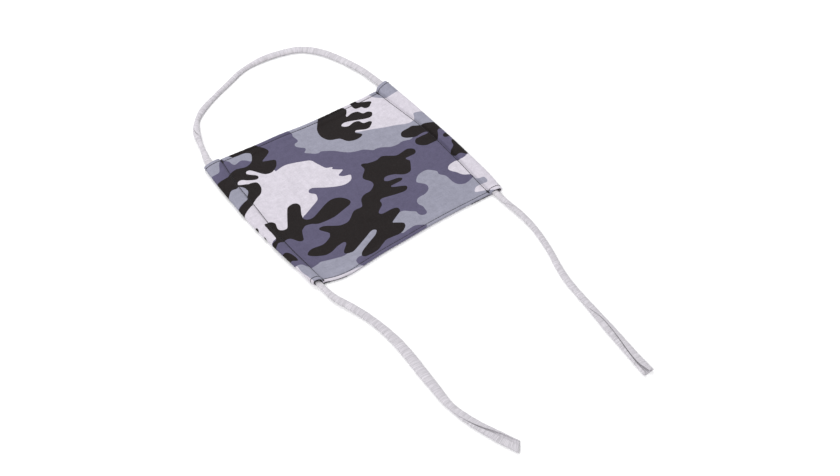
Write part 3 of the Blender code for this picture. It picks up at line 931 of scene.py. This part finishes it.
class Nodes:
    """Short ways to add and join shader nodes."""

    def __init__(self, name):
        self.material = bpy.data.materials.new(name)
        self.material.use_nodes = True
        self.tree = self.material.node_tree
        self.shader = self.tree.nodes["Principled BSDF"]

    def add(self, kind, inputs=(), **settings):
        node = self.tree.nodes.new(kind)
        for key, value in settings.items():
            setattr(node, key, value)
        for key, value in dict(inputs).items():
            self.put(node.inputs[key], value)
        return node

    def put(self, socket, value):
        if isinstance(value, bpy.types.NodeSocket):
            self.tree.links.new(value, socket)
        else:
            socket.default_value = value

    def uv(self):
        return self.add("ShaderNodeUVMap", uv_map="cloth").outputs[0]

    def split(self, vector):
        return self.add("ShaderNodeSeparateXYZ", {0: vector}).outputs

    def sums(self, operation, a, b=0.0, c=0.5):
        """A sum of two values, or of three where the operation takes three."""
        return self.add("ShaderNodeMath", {0: a, 1: b, 2: c}, operation=operation).outputs[0]

    def ranged(self, value, low, high, start=0.0, end=1.0):
        """The value turned from the range start to end into the range low to high."""
        inputs = {"Value": value, "From Min": start, "From Max": end, "To Min": low, "To Max": high}
        return self.add("ShaderNodeMapRange", inputs).outputs[0]

    def mix(self, factor, a, b, blend="MIX"):
        node = self.add("ShaderNodeMix", data_type="RGBA", blend_type=blend)
        self.put(node.inputs[0], factor)
        self.put(node.inputs[6], a)
        self.put(node.inputs[7], b)
        return node.outputs[2]

    def noise(self, vector, scale, detail=2.0):
        node = self.add("ShaderNodeTexNoise", {"Vector": vector, "Scale": scale, "Detail": detail})
        return node.outputs["Fac"]

    def stretch(self, vector, scale):
        return self.add("ShaderNodeMapping", {"Vector": vector, "Scale": scale}).outputs[0]

    def bump(self, height, strength, distance, below=None):
        node = self.add("ShaderNodeBump", {"Height": height, "Strength": strength, "Distance": distance})
        if below is not None:
            self.put(node.inputs["Normal"], below)
        return node.outputs[0]

    def finish(self, colour, roughness, normal, **constants):
        self.put(self.shader.inputs["Base Color"], colour)
        self.put(self.shader.inputs["Roughness"], roughness)
        self.put(self.shader.inputs["Normal"], normal)
        for name, value in constants.items():
            self.shader.inputs[name.replace("_", " ")].default_value = value
        return self.material


def plain_weave(nodes, uv, pitch):
    """(height of a plain weave, a separate tone for each thread), for threads pitch metres apart."""
    waves = []
    for distance in nodes.split(uv)[:2]:
        waves.append(nodes.sums("SINE", nodes.sums("MULTIPLY", distance, math.pi / pitch)))
    over = nodes.sums("MULTIPLY", *waves)
    height = nodes.sums("MULTIPLY_ADD", over, 0.5, 0.5)
    warp = nodes.noise(nodes.stretch(uv, (1.0, 0.03, 1.0)), 0.55 / pitch)
    weft = nodes.noise(nodes.stretch(uv, (0.03, 1.0, 1.0)), 0.55 / pitch)
    side = nodes.sums("GREATER_THAN", over, 0.0)
    tone = nodes.add("ShaderNodeMix", data_type="FLOAT")
    nodes.put(tone.inputs[0], side)
    nodes.put(tone.inputs[2], warp)
    nodes.put(tone.inputs[3], weft)
    return height, tone.outputs[0]


def shade(nodes, colour, amount, low, high):
    """The colour multiplied by a grey from low to high."""
    grey = nodes.ranged(amount, low, high, 0.3, 0.7)
    grey = nodes.add("ShaderNodeCombineXYZ", {0: grey, 1: grey, 2: grey}).outputs[0]
    return nodes.mix(1.0, colour, grey, "MULTIPLY")


def cotton_material(name, reverse=False, plain=None):
    """Matt cotton, coloured by the mesh's attribute of print colours and painted highlight, or one plain
    colour, paler on its reverse.
    """
    nodes = Nodes(name)
    uv = nodes.uv()
    if plain is None:
        colour = nodes.add("ShaderNodeAttribute", attribute_name="ink_and_highlight").outputs["Color"]
    else:
        colour = nodes.add("ShaderNodeRGB").outputs[0]
        colour.default_value = (*plain, 1.0)
    if reverse:
        colour = nodes.mix(0.55, colour, (0.62, 0.60, 0.66, 1.0))
    height, tone = plain_weave(nodes, uv, pitch=0.00042)
    colour = shade(nodes, colour, tone, 0.95, 1.05)
    colour = shade(nodes, colour, nodes.noise(uv, 90.0, 3.0), 0.96, 1.04)
    for scale in (260.0, 850.0):
        colour = shade(nodes, colour, nodes.noise(uv, scale), 0.94, 1.06)
    lint = nodes.ranged(nodes.noise(uv, 2600.0, 1.0), 0.0, 0.07, 0.62, 0.8)
    colour = nodes.mix(lint, colour, (0.66, 0.64, 0.68, 1.0))
    rough = nodes.ranged(tone, 0.78, 0.92)
    crease = nodes.bump(nodes.noise(uv, 260.0, 4.0), 0.25, 0.0006)
    normal = nodes.bump(height, 0.35, 0.00012, crease)
    return nodes.finish(colour, rough, normal, Specular_IOR_Level=0.15, Sheen_Weight=0.05,
                        Sheen_Roughness=0.45)


def thread_material():
    """Dark spun polyester, two plies twisted together."""
    nodes = Nodes("sewing_thread")
    uv = nodes.uv()
    across, lengthwise, _ = nodes.split(uv)
    ply_width, ply_length = 0.00066, 0.0007
    turn = nodes.sums("MULTIPLY", across, 2 * math.pi / ply_width)
    climb = nodes.sums("MULTIPLY", lengthwise, 2 * math.pi / ply_length)
    ply = nodes.sums("SINE", nodes.sums("ADD", turn, climb))
    # the plies' crests lighter and their grooves darker: painted highlight and painted shade on the twist
    colour = shade(nodes, (0.012, 0.010, 0.014, 1.0), nodes.ranged(ply, 0.3, 0.7, -1.0), 0.6, 1.5)
    colour = shade(nodes, colour, nodes.noise(uv, 900.0), 0.8, 1.25)
    rough = nodes.ranged(ply, 0.62, 0.5, -1.0)
    return nodes.finish(colour, rough, nodes.bump(ply, 0.5, 0.00008), Specular_IOR_Level=0.25,
                        Sheen_Weight=0.05)


def jersey_material():
    """Heathered cotton jersey: fine ribs across the tape, with uneven pale and lilac-grey streaks."""
    nodes = Nodes("jersey_tie")
    uv = nodes.uv()
    rib_pitch = 0.0011
    straight = nodes.sums("MULTIPLY", nodes.split(uv)[1], 2 * math.pi / rib_pitch)
    sway = nodes.sums("MULTIPLY", nodes.noise(uv, 160.0), 5.0)
    rib = nodes.sums("SINE", nodes.sums("ADD", straight, sway))
    streak = nodes.noise(nodes.stretch(uv, (0.14, 1.0, 1.0)), 950.0)
    patch = nodes.noise(nodes.stretch(uv, (0.5, 1.0, 1.0)), 120.0)
    colour = nodes.mix(patch, (0.59, 0.57, 0.603, 1.0), (0.53, 0.507, 0.55, 1.0))
    colour = shade(nodes, colour, streak, 0.80, 1.14)
    # ribs lighter on their crests and darker in their valleys: painted shade
    colour = shade(nodes, colour, nodes.ranged(rib, 0.3, 0.7, -1.0), 0.94, 1.04)
    fuzz = nodes.noise(uv, 2400.0)
    normal = nodes.bump(fuzz, 0.3, 0.0002, nodes.bump(rib, 0.45, 0.0002))
    rough = nodes.ranged(fuzz, 0.82, 0.96)
    return nodes.finish(colour, rough, normal, Specular_IOR_Level=0.2, Sheen_Weight=0.2,
                        Sheen_Roughness=0.5)


# --- Floor, light and camera ---

def floor():
    side = 4.0
    mesh = bpy.data.meshes.new("floor")
    mesh.from_pydata([(-side, -side, 0), (side, -side, 0), (side, side, 0), (-side, side, 0)], [],
                     [(0, 1, 2, 3)])
    nodes = Nodes("floor_paper")
    place = nodes.add("ShaderNodeTexCoord").outputs["Object"]
    colour = shade(nodes, (0.94, 0.94, 0.945, 1.0), nodes.noise(place, 1.5), 0.995, 1.005)
    fine = nodes.noise(place, 600.0)
    rough, normal = nodes.ranged(fine, 0.75, 0.85), nodes.bump(fine, 0.05, 0.0002)
    mesh.materials.append(nodes.finish(colour, rough, normal, Specular_IOR_Level=0.1))
    obj = in_scene("floor", mesh)


def area_light(name, place, target, size, power):
    data = bpy.data.lights.new(name, "AREA")
    data.shape = "DISK"
    data.size = size
    data.energy = power
    obj = in_scene(name, data)
    obj.location = place
    obj.rotation_euler = (Vector(target) - Vector(place)).to_track_quat("-Z", "Y").to_euler()


def studio():
    world = bpy.data.worlds.new("studio")
    world.use_nodes = True
    background = world.node_tree.nodes["Background"]
    background.inputs["Color"].default_value = (1.0, 0.995, 1.0, 1.0)
    background.inputs["Strength"].default_value = 0.68
    bpy.context.scene.world = world
    area_light("key_light", (-1.4, -0.6, 1.9), (0, -0.05, 0), 1.0, 25.0)
    area_light("fill_light", (0.2, 0.7, 0.9), (0, 0.0, 0), 0.9, 6.0)


def camera():
    """The photograph's view: from the left and in front, about 46 degrees above the floor."""
    azimuth, elevation, distance = math.radians(-35.31), math.radians(45.67), 1.5499
    target = Vector((0.00755, -0.08313, 0.0))
    back = Vector((
        math.sin(azimuth) * math.cos(elevation),
        -math.cos(azimuth) * math.cos(elevation),
        math.sin(elevation),
    ))
    data = bpy.data.cameras.new("camera")
    data.lens = 85.71
    data.sensor_width = 36.0
    obj = in_scene("camera", data)
    obj.location = target + back * distance
    obj.rotation_euler = (-back).to_track_quat("-Z", "Y").to_euler()
    bpy.context.scene.camera = obj


# --- The whole scene ---

def declare_cord(obj, line, exit_point, far_end):
    tuple(value * MM for value in exit_point)
    route_length(line) * MM
    [tuple(value * MM for value in p) for p in line]


def build_mask():
    print_side = cotton_material("printed_cotton")
    reverse = cotton_material("printed_cotton_reverse", reverse=True)
    cloth = printed_cloth([print_side, reverse])
    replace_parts(cloth, "outer_panel")
    inside = lining([cotton_material("lining_cotton", plain=(0.62, 0.60, 0.67))])
    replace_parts(inside, "lining_panel")
    threads = [thread_material()]
    for sign, word in ((1, "top"), (-1, "bottom")):
        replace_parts(hem_stitching(sign, threads), f"{word}_hem_stitching")
        for side, hand in ((-1, "left"), (1, "right")):
            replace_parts(backtack(side, sign, threads), f"{word}_{hand}_backtack")
    for side, hand in ((-1, "left"), (1, "right")):
        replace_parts(casing_stitching(side, threads), f"{hand}_casing_stitching")


def build_tie():
    jersey = [jersey_material()]
    for build, node, exit_point, far_end in (
        (loop_tie, "tie_loop", (-TIE_X, EDGE, RUN_Z), "object"),
        (left_tail, "tie_left_tail", (-TIE_X, -EDGE, RUN_Z), "bare"),
        (right_tail, "tie_right_tail", (TIE_X, -EDGE, RUN_Z), "bare"),
    ):
        tape, line = build(jersey)
        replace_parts(tape, node)
        declare_cord(tape, line, exit_point, far_end)
    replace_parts(casing_run(-1, jersey), "tie_left_run")
    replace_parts(casing_run(1, jersey), "tie_right_run")


camera()
studio()
floor()
build_tie()
build_mask()
bpy.context.scene.view_settings.view_transform = "Standard"
